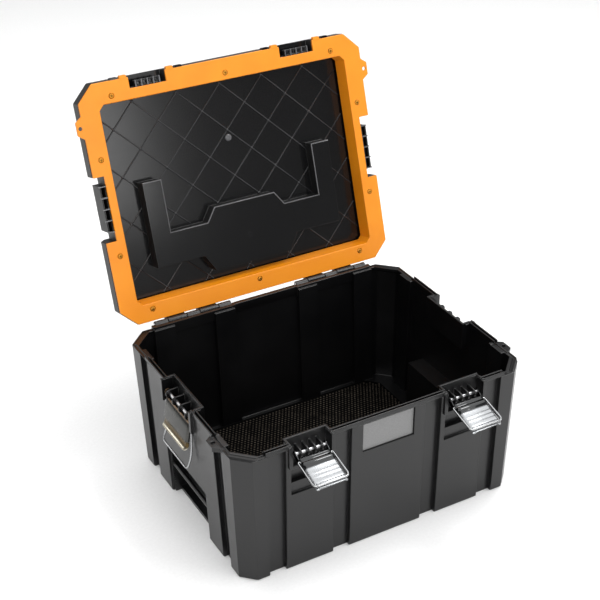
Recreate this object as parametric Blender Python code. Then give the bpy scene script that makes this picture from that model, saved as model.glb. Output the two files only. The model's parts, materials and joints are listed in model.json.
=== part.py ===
"""Stackable tool case: a ribbed black box, a lid with an orange ring, four wire latches.

Metres, +Z up. The origin is the centre of the box's underside, the front faces -Y, and the
lid stands open as it does on a bench.
"""
import math

import bmesh
import bpy
from mathutils import Matrix, Vector

# Box
RIM_LENGTH = 0.440
RIM_DEPTH = 0.350
RIM_HEIGHT = 0.205
RIM_BAND = 0.006
RIM_STEP = 0.0015
RIM_SLOPE = 0.0015
RIM_THICKNESS = 0.007
GROOVE_WALL = 0.002
GROOVE_WIDTH = 0.003
GROOVE_DEPTH = 0.0065
RIM_CHAMFER = 0.0264
CORNER_DROP = 0.005
CORNER_LENGTH = 0.040
CORNER_DEPTH = 0.070
WALL = 0.0035
FLOOR = 0.005
DRAFT = 0.006
FOOT_CHAMFER = 0.0187
FOOT_BREAK = 0.002
RUNNING_GAP = 0.0003

# Channels between the raised panels
CHANNEL_DEPTH = 0.007
CENTRE_PANEL = 0.112
FRONT_CHANNEL = 0.025
FRONT_END_PANEL = 0.044
SIDE_CHANNEL = 0.023
SIDE_END_PANEL = 0.049

# Grip recess in each side, open below, with a bar across it
GRIP_WIDTH = 0.115
GRIP_TOP = 0.076
GRIP_DEPTH = 0.026
GRIP_SILL = 0.006
GRIP_SILL_SINK = 0.0125
GRIP_FRAME = 0.004
GRIP_BAR_TOP = 0.051
GRIP_BAR_HEIGHT = 0.006
GRIP_BAR_DEPTH = 0.006
GRIP_BAR_SINK = 0.0045
GRIP_BAR_ROOT = 0.002

# Blank label plate on the front centre panel
LABEL_WIDTH = 0.078
LABEL_HEIGHT = 0.044
LABEL_DROP = 0.001
LABEL_THICKNESS = 0.0014
LABEL_SINK = 0.0045

# Floor mat
MAT_THICKNESS = 0.0025
MAT_MARGIN = 0.002

# Padlock eyes, one above the other on box and lid
EYE_FROM_FRONT = 0.060
EYE_WIDTH = 0.018
EYE_REACH = 0.0085
EYE_HEIGHT = 0.007
EYE_BORE = 0.0028
EYE_RIM = 0.0030

# Rear hinges: box and lid knuckles in turn on two pins
HINGE_BEHIND = 0.0012
HINGE_DROP = 0.0015
HINGE_END = 0.046
BASE_KNUCKLES = 3
BASE_KNUCKLE = 0.020
LID_KNUCKLE = 0.030
KNUCKLE_GAP = 0.0006
KNUCKLE_RADIUS = 0.0047
HINGE_PIN_RADIUS = 0.0020
PIN_CLEARANCE = 0.0002
HINGE_WALL = 0.009
HINGE_WALL_HEIGHT = 0.017
KNUCKLE_FOOT = 0.014
LID_OPEN = math.radians(106.5)

# Lid and its orange ring
LID_SIDE_INSET = 0.0005
LID_FRONT_INSET = 0.004
LID_GAP = 0.0005
LID_CHAMFER = 0.0235
LID_WALL_HEIGHT = 0.019
LID_HEIGHT = 0.033
LID_TOP_INSET = 0.008
LID_SKIN = 0.0035
LID_PANEL_BORDER = 0.016
LID_PANEL_SINK = 0.0015
RING_THICKNESS = 0.0035
RING_INSET = 0.0005
RING_SKIRT = 0.024
RING_SKIRT_DRAFT = 0.003
RING_SKIRT_WALL = 0.003
RING_SIDE = 0.028
RING_FRONT = 0.0305
RING_REAR = 0.0265
RING_CORNER = 0.007

# Lid screws: three along the front and rear edges, two along each side
SCREW_CORNER = 0.0485
SCREW_FRONT_EDGE = 0.021
SCREW_REAR_EDGE = 0.0175
SCREW_SIDE_EDGE = 0.0165
SCREW_SIDE_ROW = 0.068
SCREW_HEAD_RADIUS = 0.0035
SCREW_HEAD = 0.0018
SCREW_RADIUS = 0.0016
SCREW_LENGTH = 0.014
SCREW_CLEARANCE = 0.0004
BOSS_RADIUS = 0.0048

# Handle and its pocket in the lid
POCKET_SIDE_MARGIN = 0.0425
POCKET_REAR_MARGIN = 0.0185
POCKET_ARM = 0.028
POCKET_BAR = 0.046
POCKET_REACH = 0.077
POCKET_GRIP_WIDTH = 0.124
POCKET_GRIP_FRONT_STEP = 0.020
POCKET_GRIP_REAR_STEP = 0.025
POCKET_SLANT = 0.014
POCKET_WALL = 0.003
POCKET_CLEARANCE = 0.008
HANDLE_GAP = 0.002
HANDLE_BAR = 0.024
HANDLE_END = 0.009
HANDLE_PIN_RADIUS = 0.0030
HANDLE_PIN_SEAT = 0.0015
HANDLE_TOP_GAP = 0.0006

# Latches: a pocket in the wall, ribs that hold the pin, a steel lever, a wire bail
LATCH_DEPTH = 0.015
LATCH_HEIGHT = 0.039
LATCH_SIDE_GAP = 0.0015
CHEEK_WIDTH = 0.005
CHEEK_REACH = 0.003
CHEEK_DROP = 0.002
CHEEK_HEIGHT = 0.033
PIVOT_INSET = 0.003
PIVOT_DROP = 0.018
RIB_RADIUS = 0.0065
RIB_THICKNESS = 0.0026
RIB_COUNT = 4
RIB_MARGIN = 0.0075
LATCH_PIN_RADIUS = 0.0020
LEVER_GAUGE = 0.0014
LEVER_RISE = 0.0030
LEVER_ROOT = 0.0082
LEVER_CURL = 0.010
LEVER_CURL_DROP = 0.005
LEVER_LIP = 0.007
LEVER_LIP_STEP = 0.0012
LEVER_EYE = 0.0045
FLANGE_DEPTH = 0.0052
BAIL_WIRE = 0.0030
BAIL_SIDE_GAP = 0.0007
BAIL_PIVOT = 0.013
BAIL_PIVOT_SINK = 0.0005
BAIL_CORNER = 0.006
FRONT_BAIL_WIDTH = 0.050
FRONT_LEVER = 0.060
FRONT_TILT = math.radians(18)
SIDE_BAIL_WIDTH = 0.0786
SIDE_BAIL_LENGTH = 0.064
SIDE_BAIL_HOOK = 0.007
SIDE_BAIL_REST = math.radians(-8)
SIDE_LEVER = 0.049
SIDE_TILT = math.radians(79.4)
RECESS_DEPTH = 0.0108
RECESS_INSET = 0.001
BED_DEPTH = 0.0038
BED_ROOM = 0.003
RECESS_DROP = 0.005
RECESS_HEIGHT = 0.020

# Lid notches that take the bails, with a ribbed keeper in each
NOTCH_DEPTH = 0.016
NOTCH_ROOM = 0.012
FRONT_NOTCH_GAP = 0.0008
SIDE_NOTCH_GAP = 0.0052
KEEPER_REACH = 0.009
KEEPER_DROP = 0.0015
KEEPER_TIP = 0.0018
KEEPER_HOOK_GAP = 0.0005
KEEPER_CELLS = 4
KEEPER_CELL_WALL = 0.0022

# Where the sizes above lead; a cutter runs past the face that it opens
PAST = 2 * WALL
HALF_X = RIM_LENGTH / 2
HALF_Y = RIM_DEPTH / 2
BAND_Z = RIM_HEIGHT - RIM_BAND
PANEL_TOP = BAND_Z - RIM_SLOPE
INNER_CHANNEL = (CENTRE_PANEL / 2, CENTRE_PANEL / 2 + FRONT_CHANNEL)
OUTER_CHANNEL = (HALF_X - FRONT_END_PANEL - FRONT_CHANNEL, HALF_X - FRONT_END_PANEL)
SIDE_CHANNEL_PLACE = (HALF_Y - SIDE_END_PANEL - SIDE_CHANNEL, HALF_Y - SIDE_END_PANEL)
LABEL_TOP = PANEL_TOP - LABEL_DROP
LABEL_BOTTOM = LABEL_TOP - LABEL_HEIGHT
LID_HALF_X = HALF_X - LID_SIDE_INSET
LID_HALF_Y = HALF_Y - LID_FRONT_INSET
RING_Z = RIM_HEIGHT + LID_GAP
LID_Z = RING_Z + RING_THICKNESS + RUNNING_GAP
LID_TOP = RING_Z + LID_HEIGHT
HINGE = Vector((0, HALF_Y + HINGE_BEHIND, RIM_HEIGHT - HINGE_DROP))
EYE_PLACE = EYE_FROM_FRONT - HALF_Y

POCKET_HALF = LID_HALF_X - RING_SIDE - POCKET_SIDE_MARGIN
POCKET_GRIP_REAR = LID_HALF_Y - RING_REAR - POCKET_REAR_MARGIN
POCKET_REAR = POCKET_GRIP_REAR - POCKET_GRIP_REAR_STEP
POCKET_CROSS = POCKET_REAR - POCKET_BAR
POCKET_FRONT = POCKET_CROSS - POCKET_REACH
HANDLE_PIVOT = Vector((0, POCKET_FRONT + POCKET_WALL + HANDLE_GAP + HANDLE_END,
                       LID_TOP - LID_PANEL_SINK - HANDLE_TOP_GAP - HANDLE_END))

# A front bail lies over its lever's lip; a side bail hangs below its lever
PIVOT_Z = RIM_HEIGHT - PIVOT_DROP
LATCH_FLOOR = RIM_HEIGHT - LATCH_HEIGHT
FRONT_BAIL_LENGTH = FRONT_LEVER - LEVER_LIP / 2 - BAIL_PIVOT
LIP_TO_BAIL = LEVER_RISE - LEVER_LIP_STEP + RUNNING_GAP + BAIL_WIRE / 2 + BAIL_PIVOT_SINK
FRONT_LATCH = {"at": (INNER_CHANNEL[1] + OUTER_CHANNEL[0]) / 2, "rim": HALF_Y, "lid_edge": LID_HALF_Y,
               "lever": FRONT_LEVER, "tilt": FRONT_TILT, "bail_half": FRONT_BAIL_WIDTH / 2,
               "bail": FRONT_BAIL_LENGTH, "bail_rest": math.asin(LIP_TO_BAIL / FRONT_BAIL_LENGTH),
               "hook": 0.0, "notch_gap": FRONT_NOTCH_GAP}
SIDE_LATCH = {"at": 0.0, "rim": HALF_X, "lid_edge": LID_HALF_X,
              "lever": SIDE_LEVER, "tilt": SIDE_TILT, "bail_half": SIDE_BAIL_WIDTH / 2,
              "bail": SIDE_BAIL_LENGTH, "bail_rest": SIDE_BAIL_REST,
              "hook": SIDE_BAIL_HOOK, "notch_gap": SIDE_NOTCH_GAP}


def clear_scene():
    for obj in list(bpy.data.objects):
        bpy.data.objects.remove(obj, do_unlink=True)


def finish(name, colour, roughness, metallic=0.0):
    """A Principled material with one colour."""
    mat = bpy.data.materials.new(name)
    mat.use_nodes = True
    shader = mat.node_tree.nodes["Principled BSDF"]
    shader.inputs["Base Color"].default_value = (*colour, 1)
    shader.inputs["Roughness"].default_value = roughness
    shader.inputs["Metallic"].default_value = metallic
    return mat


def loft(rings):
    """A closed solid through rings of equal point counts, capped at both ends."""
    body = bmesh.new()
    loops = [[body.verts.new(point) for point in ring] for ring in rings]
    count = len(rings[0])
    for lower, upper in zip(loops, loops[1:]):
        for i in range(count):
            j = (i + 1) % count
            body.faces.new((lower[i], lower[j], upper[j], upper[i]))
    body.faces.new(loops[0])
    body.faces.new(loops[-1])
    bmesh.ops.recalc_face_normals(body, faces=body.faces)
    return body


def slab(outline, axis, low, high):
    """A flat outline pushed from low to high along x, y or z."""
    spread = {"x": lambda p, q, h: Vector((h, p, q)),
              "y": lambda p, q, h: Vector((p, h, q)),
              "z": lambda p, q, h: Vector((p, q, h))}[axis]
    return loft([[spread(p, q, height) for p, q in outline] for height in (low, high)])


def box(low, high):
    (x0, y0, z0), (x1, y1, z1) = low, high
    return slab([(x0, y0), (x1, y0), (x1, y1), (x0, y1)], "z", z0, z1)


def arc(centre, radius, start, end, steps):
    """Points of an arc, angles in degrees."""
    angles = [math.radians(start + (end - start) * i / steps) for i in range(steps + 1)]
    return [(centre[0] + radius * math.cos(a), centre[1] + radius * math.sin(a)) for a in angles]


def rod(axis, centre, radius, low, high, sides=16):
    return slab(arc(centre, radius, 0, 360 - 360 / sides, sides - 1), axis, low, high)


def octagon(half_x, half_y, chamfer):
    """A rectangle with its corners cut off, as flat points."""
    x, y, c = half_x, half_y, chamfer
    return [(-x + c, -y), (x - c, -y), (x, -y + c), (x, y - c),
            (x - c, y), (-x + c, y), (-x, y - c), (-x, -y + c)]


def bar_section(left, right, low, high):
    """A rectangle with its corners cut to a quarter of its height."""
    centre = Vector(((left + right) / 2, (low + high) / 2))
    flat = octagon((right - left) / 2, (high - low) / 2, (high - low) / 4)
    return [tuple(centre + Vector(point)) for point in flat]


def ring_at(outline, z):
    return [Vector((x, y, z)) for x, y in outline]


def inset(outline, distance):
    """The outline moved inwards by a distance, with mitred corners; anticlockwise points."""
    moved = []
    count = len(outline)
    for i in range(count):
        before, here, after = (Vector(outline[(i + k) % count]) for k in (-1, 0, 1))
        normals = []
        for start, end in ((before, here), (here, after)):
            along = (end - start).normalized()
            normals.append(Vector((-along.y, along.x)))
        mitre = (normals[0] + normals[1]).normalized()
        moved.append(tuple(here + mitre * distance / mitre.dot(normals[0])))
    return moved


def turned(body, matrix):
    bmesh.ops.transform(body, matrix=matrix, verts=body.verts)
    return body


def as_object(name, body, mat=None):
    mesh = bpy.data.meshes.new(name)
    body.to_mesh(mesh)
    body.free()
    obj = bpy.data.objects.new(name, mesh)
    bpy.context.scene.collection.objects.link(obj)
    if mat:
        mesh.materials.append(mat)
        mesh.shade_smooth()
        mesh.set_sharp_from_angle(angle=math.radians(35))
    return obj


def combine(target, operation, bodies):
    """Add bodies to a piece, or cut them out of it, with one Boolean over their collection."""
    tools = bpy.data.collections.new(f"{target.name} {operation.lower()} tools")
    bpy.context.scene.collection.children.link(tools)
    for body in bodies:
        tool = as_object(f"{target.name} tool", body)
        bpy.context.scene.collection.objects.unlink(tool)
        tools.objects.link(tool)
        tool.hide_render = True
        tool.display_type = "WIRE"
    modifier = target.modifiers.new(operation.title(), "BOOLEAN")
    modifier.operation = operation
    modifier.solver = "EXACT"
    modifier.operand_type = "COLLECTION"
    modifier.collection = tools


def cut(target, bodies):
    combine(target, "DIFFERENCE", bodies)


def fuse(target, bodies):
    combine(target, "UNION", bodies)


def wall_turn(wall):
    """The matrix that carries what is modelled on the front wall to another wall."""
    degrees = {"front": 0, "rear": 180, "left": -90, "right": 90}[wall]
    return Matrix.Rotation(math.radians(degrees), 4, "Z")


def latches():
    """The four latches: name, sizes and place."""
    found = []
    for name, wall, sizes, side in (("front_left", "front", FRONT_LATCH, -1),
                                    ("front_right", "front", FRONT_LATCH, 1),
                                    ("side_left", "left", SIDE_LATCH, 0),
                                    ("side_right", "right", SIDE_LATCH, 0)):
        place = Matrix.Translation((side * sizes["at"], 0, 0))
        found.append((name, sizes, wall_turn(wall) @ place))
    return found


def panel_face(rim, z):
    """Distance of the raised panel from the case's middle at a height."""
    return rim - RIM_STEP - DRAFT * (1 - z / BAND_Z)


def leaning_box(rim, x0, x1, z0, z1, sink):
    """A cutter on a front-facing wall that follows the wall's draft, sunk by a depth."""
    rings = []
    for z in (z0, z1):
        face = panel_face(rim, z)
        out = face + RIM_STEP + PAST
        rings.append([Vector((x0, -out, z)), Vector((x1, -out, z)),
                      Vector((x1, -face + sink, z)), Vector((x0, -face + sink, z))])
    return loft(rings)


def channel_hollows(wall, rim, places, grow):
    """The upright channels of one wall, in mirrored pairs, from under the box to the rim band."""
    hollows = []
    for near, far in both_sides(places):
        hollows.append(leaning_box(rim, near - grow, far + grow, -FOOT_BREAK, PANEL_TOP + grow,
                                   CHANNEL_DEPTH + grow))
    return [turned(hollow, wall_turn(wall)) for hollow in hollows]


def grip_hollows(wall, grow):
    """A grip recess: a shallow frame, and a deep part that stands on a sill."""
    half = GRIP_WIDTH / 2
    depth = GRIP_FRAME if not grow else GRIP_DEPTH + grow
    reach = half + GRIP_FRAME + grow
    hollows = [leaning_box(HALF_X, -reach, reach, -FOOT_BREAK, GRIP_TOP + GRIP_FRAME + grow, depth)]
    if not grow:
        steps = [(-FOOT_BREAK, GRIP_SILL_SINK), (GRIP_SILL, GRIP_SILL_SINK), (GRIP_SILL, GRIP_DEPTH),
                 (GRIP_TOP, GRIP_DEPTH), (GRIP_TOP, -PAST), (-FOOT_BREAK, -PAST)]
        profile = [(sink - panel_face(HALF_X, z), z) for z, sink in steps]
        hollows.append(slab(profile, "x", -half, half))
    return [turned(hollow, wall_turn(wall)) for hollow in hollows]


def grip_bar(wall):
    """The bar across a grip recess, rooted in the recess's ends."""
    half = GRIP_WIDTH / 2 + GRIP_BAR_ROOT
    outer = GRIP_BAR_SINK - panel_face(HALF_X, GRIP_BAR_TOP)
    inner = outer + GRIP_BAR_DEPTH
    bottom = GRIP_BAR_TOP - GRIP_BAR_HEIGHT
    bar = slab(bar_section(outer, inner, bottom, GRIP_BAR_TOP), "x", -half, half)
    return turned(bar, wall_turn(wall))


def wall_hollows(grow):
    """Channels, grips, the label's seat, latch pockets, lever beds and finger recesses, grown by a wall."""
    half = LABEL_WIDTH / 2 + RUNNING_GAP + grow
    hollows = [leaning_box(HALF_Y, -half, half, LABEL_BOTTOM - RUNNING_GAP - grow,
                           LABEL_TOP + RUNNING_GAP + grow, LABEL_SINK + grow)]
    for wall in ("front", "rear"):
        hollows += channel_hollows(wall, HALF_Y, [INNER_CHANNEL, OUTER_CHANNEL], grow)
    for wall in ("left", "right"):
        hollows += channel_hollows(wall, HALF_X, [SIDE_CHANNEL_PLACE], grow)
        hollows += grip_hollows(wall, grow)
    for _, sizes, place in latches():
        rim = sizes["rim"]
        half = pocket_half(sizes) + grow
        pocket = box((-half, -rim - RIM_STEP - PAST, LATCH_FLOOR - grow),
                     (half, -rim + LATCH_DEPTH + grow, RIM_HEIGHT + PAST))
        hollows.append(turned(pocket, place))
        if sizes is FRONT_LATCH:
            bed = leaning_box(rim, RECESS_INSET / 2 - half, half - RECESS_INSET / 2,
                              PIVOT_Z - FRONT_LEVER - BED_ROOM - grow, LATCH_FLOOR + BED_ROOM,
                              BED_DEPTH + grow)
            hollows.append(turned(bed, place))
            half -= RECESS_INSET
            top = LATCH_FLOOR - RECESS_DROP
            recess = leaning_box(rim, -half, half, top - RECESS_HEIGHT - grow, top + grow,
                                 RECESS_DEPTH + grow)
            hollows.append(turned(recess, place))
    return hollows


def pocket_half(sizes):
    """Half the width of a latch pocket: the bail and a little room."""
    return sizes["bail_half"] + BAIL_WIRE / 2 + LATCH_SIDE_GAP


def lever_half(sizes):
    """Half the width of a lever, which lies between the bail's legs."""
    return sizes["bail_half"] - BAIL_WIRE / 2 - BAIL_SIDE_GAP


def knuckles():
    """X ranges of the hinge knuckles of one side: the box's, then the lid's."""
    pitch = BASE_KNUCKLE + LID_KNUCKLE
    first = HALF_X - HINGE_END - BASE_KNUCKLES * pitch + LID_KNUCKLE
    starts = [first + i * pitch for i in range(BASE_KNUCKLES)]
    mine = [(x, x + BASE_KNUCKLE) for x in starts]
    lids = [(x + BASE_KNUCKLE + KNUCKLE_GAP, x + pitch - KNUCKLE_GAP) for x in starts[:-1]]
    return mine, lids


def both_sides(ranges):
    return ranges + [(-b, -a) for a, b in ranges]


def base_outline(t):
    """Outlines of the box at its foot, under its rim band and at its rim, moved in by a distance."""
    foot = octagon(HALF_X - RIM_STEP - DRAFT - t, HALF_Y - RIM_STEP - DRAFT - t, FOOT_CHAMFER)
    under = octagon(HALF_X - RIM_STEP - t, HALF_Y - RIM_STEP - t, RIM_CHAMFER - DRAFT)
    rim = octagon(HALF_X - t, HALF_Y - t, RIM_CHAMFER)
    return foot, under, rim


def hollow_out(shell, cavity):
    """Take a cavity, with what stands in it, out of a shell."""
    cavity.hide_render = True
    cavity.display_type = "WIRE"
    hollow = shell.modifiers.new("Cavity", "BOOLEAN")
    hollow.object = cavity
    hollow.solver = "EXACT"


def build_base(mat):
    """The moulded box with its cheeks, ribs, eyes and hinge knuckles."""
    foot, under, rim_ring = base_outline(0)
    shell = as_object("base_shell", loft([
        ring_at(inset(foot, FOOT_BREAK), 0), ring_at(foot, FOOT_BREAK), ring_at(under, PANEL_TOP),
        ring_at(rim_ring, BAND_Z), ring_at(rim_ring, RIM_HEIGHT)]), mat)

    mine, lids = knuckles()
    hinge_span = [(mine[0][0] - WALL, mine[-1][1] + WALL)]
    in_foot, in_under, _ = base_outline(WALL)
    in_rim = base_outline(RIM_THICKNESS)[-1]
    cavity = as_object("base cavity", loft([
        ring_at(in_foot, FLOOR), ring_at(in_under, PANEL_TOP - RIM_THICKNESS),
        ring_at(in_rim, PANEL_TOP - RIM_STEP), ring_at(in_rim, RIM_HEIGHT + PAST)]))
    hinge_walls = [box((a, HALF_Y - HINGE_WALL, RIM_HEIGHT - HINGE_WALL_HEIGHT),
                       (b, HALF_Y, RIM_HEIGHT + 2 * PAST))
                   for a, b in both_sides(hinge_span)]
    cut(cavity, wall_hollows(WALL) + hinge_walls)
    hollow_out(shell, cavity)

    removed = wall_hollows(0)
    for sx in (-1, 1):
        for sy in (-1, 1):
            xs = sorted((sx * (HALF_X - CORNER_LENGTH), sx * (HALF_X + PAST)))
            ys = sorted((sy * (HALF_Y - CORNER_DEPTH), sy * (HALF_Y + PAST)))
            removed.append(box((xs[0], ys[0], RIM_HEIGHT - CORNER_DROP),
                               (xs[1], ys[1], RIM_HEIGHT + PAST)))
    reach = KNUCKLE_RADIUS + 3 * RUNNING_GAP
    for a, b in both_sides(lids):
        removed.append(box((a - KNUCKLE_GAP, HINGE.y - reach, HINGE.z - reach),
                           (b + KNUCKLE_GAP, HINGE.y + reach, RIM_HEIGHT + PAST)))
    path = (6, 7, 0, 1, 2, 3)  # the left side, the front and the right side of the octagon
    outer = inset(rim_ring, GROOVE_WALL)
    inner = inset(rim_ring, GROOVE_WALL + GROOVE_WIDTH)
    groove = [outer[i] for i in path] + [inner[i] for i in reversed(path)]
    removed.append(slab(groove, "z", RIM_HEIGHT - GROOVE_DEPTH, RIM_HEIGHT + PAST))
    cut(shell, removed)

    added = [grip_bar("left"), grip_bar("right")]
    for _, sizes, place in latches():
        added += [turned(body, place) for body in latch_carriers(sizes)]
    for a, b in both_sides(mine):
        foot_z = RIM_HEIGHT - KNUCKLE_FOOT
        profile = arc((HINGE.y, HINGE.z), KNUCKLE_RADIUS, 0, 180, 8)
        profile += [(HINGE.y - KNUCKLE_RADIUS, foot_z), (HALF_Y, foot_z),
                    (HINGE.y + KNUCKLE_RADIUS, HINGE.z - KNUCKLE_RADIUS)]
        added.append(slab(profile, "x", a, b))
    eye_top = RIM_HEIGHT - CORNER_DROP
    for side in (-1, 1):
        added.append(slab(eye_outline(side, HALF_X), "z", eye_top - EYE_HEIGHT, eye_top))
    fuse(shell, added)

    bores = []
    for _, sizes, place in latches():
        half = rib_places(sizes)[-1] + RIB_THICKNESS
        bores.append(turned(rod("x", latch_pivot(sizes), LATCH_PIN_RADIUS + PIN_CLEARANCE,
                                -half, half), place))
    for a, b in both_sides(hinge_span):
        bores.append(rod("x", (HINGE.y, HINGE.z), HINGE_PIN_RADIUS + PIN_CLEARANCE, a, b))
    for side in (-1, 1):
        bores.append(rod("z", eye_centre(side, HALF_X), EYE_BORE, eye_top - 2 * EYE_HEIGHT,
                         RIM_HEIGHT + PAST, 12))
    cut(shell, bores)


def latch_pivot(sizes):
    """Where a latch's pin crosses the front wall's (y, z) plane."""
    return -sizes["rim"] + PIVOT_INSET, PIVOT_Z


def latch_carriers(sizes):
    """The cheeks beside a latch, and the ribs in its pocket that carry the pin."""
    rim, half = sizes["rim"], pocket_half(sizes)
    back = -rim + LATCH_DEPTH
    bodies = []
    cheek_top = RIM_HEIGHT - CHEEK_DROP
    for side in (-1, 1):
        xs = sorted((side * (half - RUNNING_GAP), side * (half + CHEEK_WIDTH)))
        bodies.append(box((xs[0], -rim - CHEEK_REACH, cheek_top - CHEEK_HEIGHT),
                          (xs[1], back - WALL / 2, cheek_top)))
    root = back + WALL / 2
    profile = [(root, PIVOT_Z + RIB_RADIUS)] + arc(latch_pivot(sizes), RIB_RADIUS, 90, 270, 8)
    profile += [(root, PIVOT_Z - RIB_RADIUS)]
    for x in rib_places(sizes):
        bodies.append(slab(profile, "x", x - RIB_THICKNESS / 2, x + RIB_THICKNESS / 2))
    return bodies


def eye_centre(side, half_x):
    return side * (half_x + EYE_REACH - EYE_BORE - EYE_RIM), EYE_PLACE


def eye_outline(side, half_x):
    """A padlock eye seen from above: a lug with sloped ends, set into the wall behind it."""
    inner = half_x - WALL
    outer = half_x + EYE_REACH
    half = EYE_WIDTH / 2
    points = [(inner, -half - EYE_REACH), (outer, -half), (outer, half), (inner, half + EYE_REACH)]
    return [(side * x, y + EYE_PLACE) for x, y in points]


def rib_places(sizes):
    """Places across a latch of the ribs that carry its pin."""
    spread = lever_half(sizes) - RIB_MARGIN
    return [spread * (2 * i / (RIB_COUNT - 1) - 1) for i in range(RIB_COUNT)]


def build_mat(mat):
    """The sheet on the floor, clear of what the wall hollows push into the box."""
    x = HALF_X - RIM_STEP - DRAFT - GRIP_DEPTH - WALL - MAT_MARGIN
    y = HALF_Y - RIM_STEP - DRAFT - CHANNEL_DEPTH - WALL - MAT_MARGIN
    as_object("floor_mat", slab(octagon(x, y, FOOT_CHAMFER), "z", FLOOR + RUNNING_GAP,
                                FLOOR + RUNNING_GAP + MAT_THICKNESS), mat)


def build_label(mat):
    """The plate in its shallow seat, leaning with the wall."""
    rings = []
    for z in (LABEL_BOTTOM, LABEL_TOP):
        seat = -panel_face(HALF_Y, z) + LABEL_SINK - RUNNING_GAP
        rings.append([Vector((-LABEL_WIDTH / 2, seat - LABEL_THICKNESS, z)),
                      Vector((LABEL_WIDTH / 2, seat - LABEL_THICKNESS, z)),
                      Vector((LABEL_WIDTH / 2, seat, z)), Vector((-LABEL_WIDTH / 2, seat, z))])
    as_object("label_plate", loft(rings), mat)


def build_hinge_pins(mat):
    mine, _ = knuckles()
    for side, name in ((-1, "hinge_pin_left"), (1, "hinge_pin_right")):
        low, high = sorted((side * mine[0][0], side * mine[-1][1]))
        pin = as_object(name, rod("x", (0, 0), HINGE_PIN_RADIUS, low, high), mat)
        pin.location = HINGE


def lid_hollows(grow):
    """Notches in the lid's edges for the bails, grown by a wall thickness."""
    hollows = []
    for _, sizes, place in latches():
        edge = sizes["lid_edge"]
        half = sizes["bail_half"] + BAIL_WIRE / 2 + sizes["notch_gap"] + grow
        notch = box((-half, -edge - PAST, RING_Z - PAST),
                    (half, -edge + NOTCH_DEPTH + grow, keeper_top(sizes) + NOTCH_ROOM + grow))
        hollows.append(turned(notch, place))
    return hollows


def keeper_front(sizes):
    return -sizes["lid_edge"] + NOTCH_DEPTH - KEEPER_REACH


def keeper_top(sizes):
    """The ledge under the crossbar of a bail that is hooked with its lever upright on the wall."""
    crossbar = keeper_front(sizes) + KEEPER_TIP + KEEPER_HOOK_GAP + BAIL_WIRE / 2
    pivot = -sizes["rim"] + PIVOT_INSET + BAIL_PIVOT_SINK
    rise = math.sqrt(sizes["bail"] ** 2 + sizes["hook"] ** 2 - (crossbar - pivot) ** 2)
    return PIVOT_Z - BAIL_PIVOT + rise - BAIL_WIRE / 2 - RUNNING_GAP


def pocket_outline():
    """The handle pocket seen from above: a U whose crossbar widens for the fingers."""
    half, grip = POCKET_HALF, POCKET_GRIP_WIDTH / 2
    arm = half - POCKET_ARM
    right = [(grip - POCKET_SLANT, POCKET_CROSS - POCKET_GRIP_FRONT_STEP), (grip, POCKET_CROSS),
             (arm, POCKET_CROSS), (arm, POCKET_FRONT), (half, POCKET_FRONT), (half, POCKET_REAR),
             (grip + POCKET_SLANT, POCKET_REAR), (grip, POCKET_GRIP_REAR)]
    return right + [(-x, y) for x, y in reversed(right)]


def screw_places():
    """Screw places in the closed lid, clockwise from the front left."""
    front = -LID_HALF_Y + SCREW_FRONT_EDGE
    rear = LID_HALF_Y - SCREW_REAR_EDGE
    side = LID_HALF_X - SCREW_SIDE_EDGE
    row = LID_HALF_X - SCREW_CORNER
    places = [(-row, front), (0, front), (row, front)]
    places += [(side, -SCREW_SIDE_ROW), (side, SCREW_SIDE_ROW)]
    places += [(row, rear), (0, rear), (-row, rear)]
    places += [(-side, SCREW_SIDE_ROW), (-side, -SCREW_SIDE_ROW)]
    return places


def ride_on(obj, axis_empty, origin=Vector((0, 0, 0))):
    """Hang a piece modelled in the closed case on the lid's axis."""
    obj.parent = axis_empty
    obj.location = origin - HINGE


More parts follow.
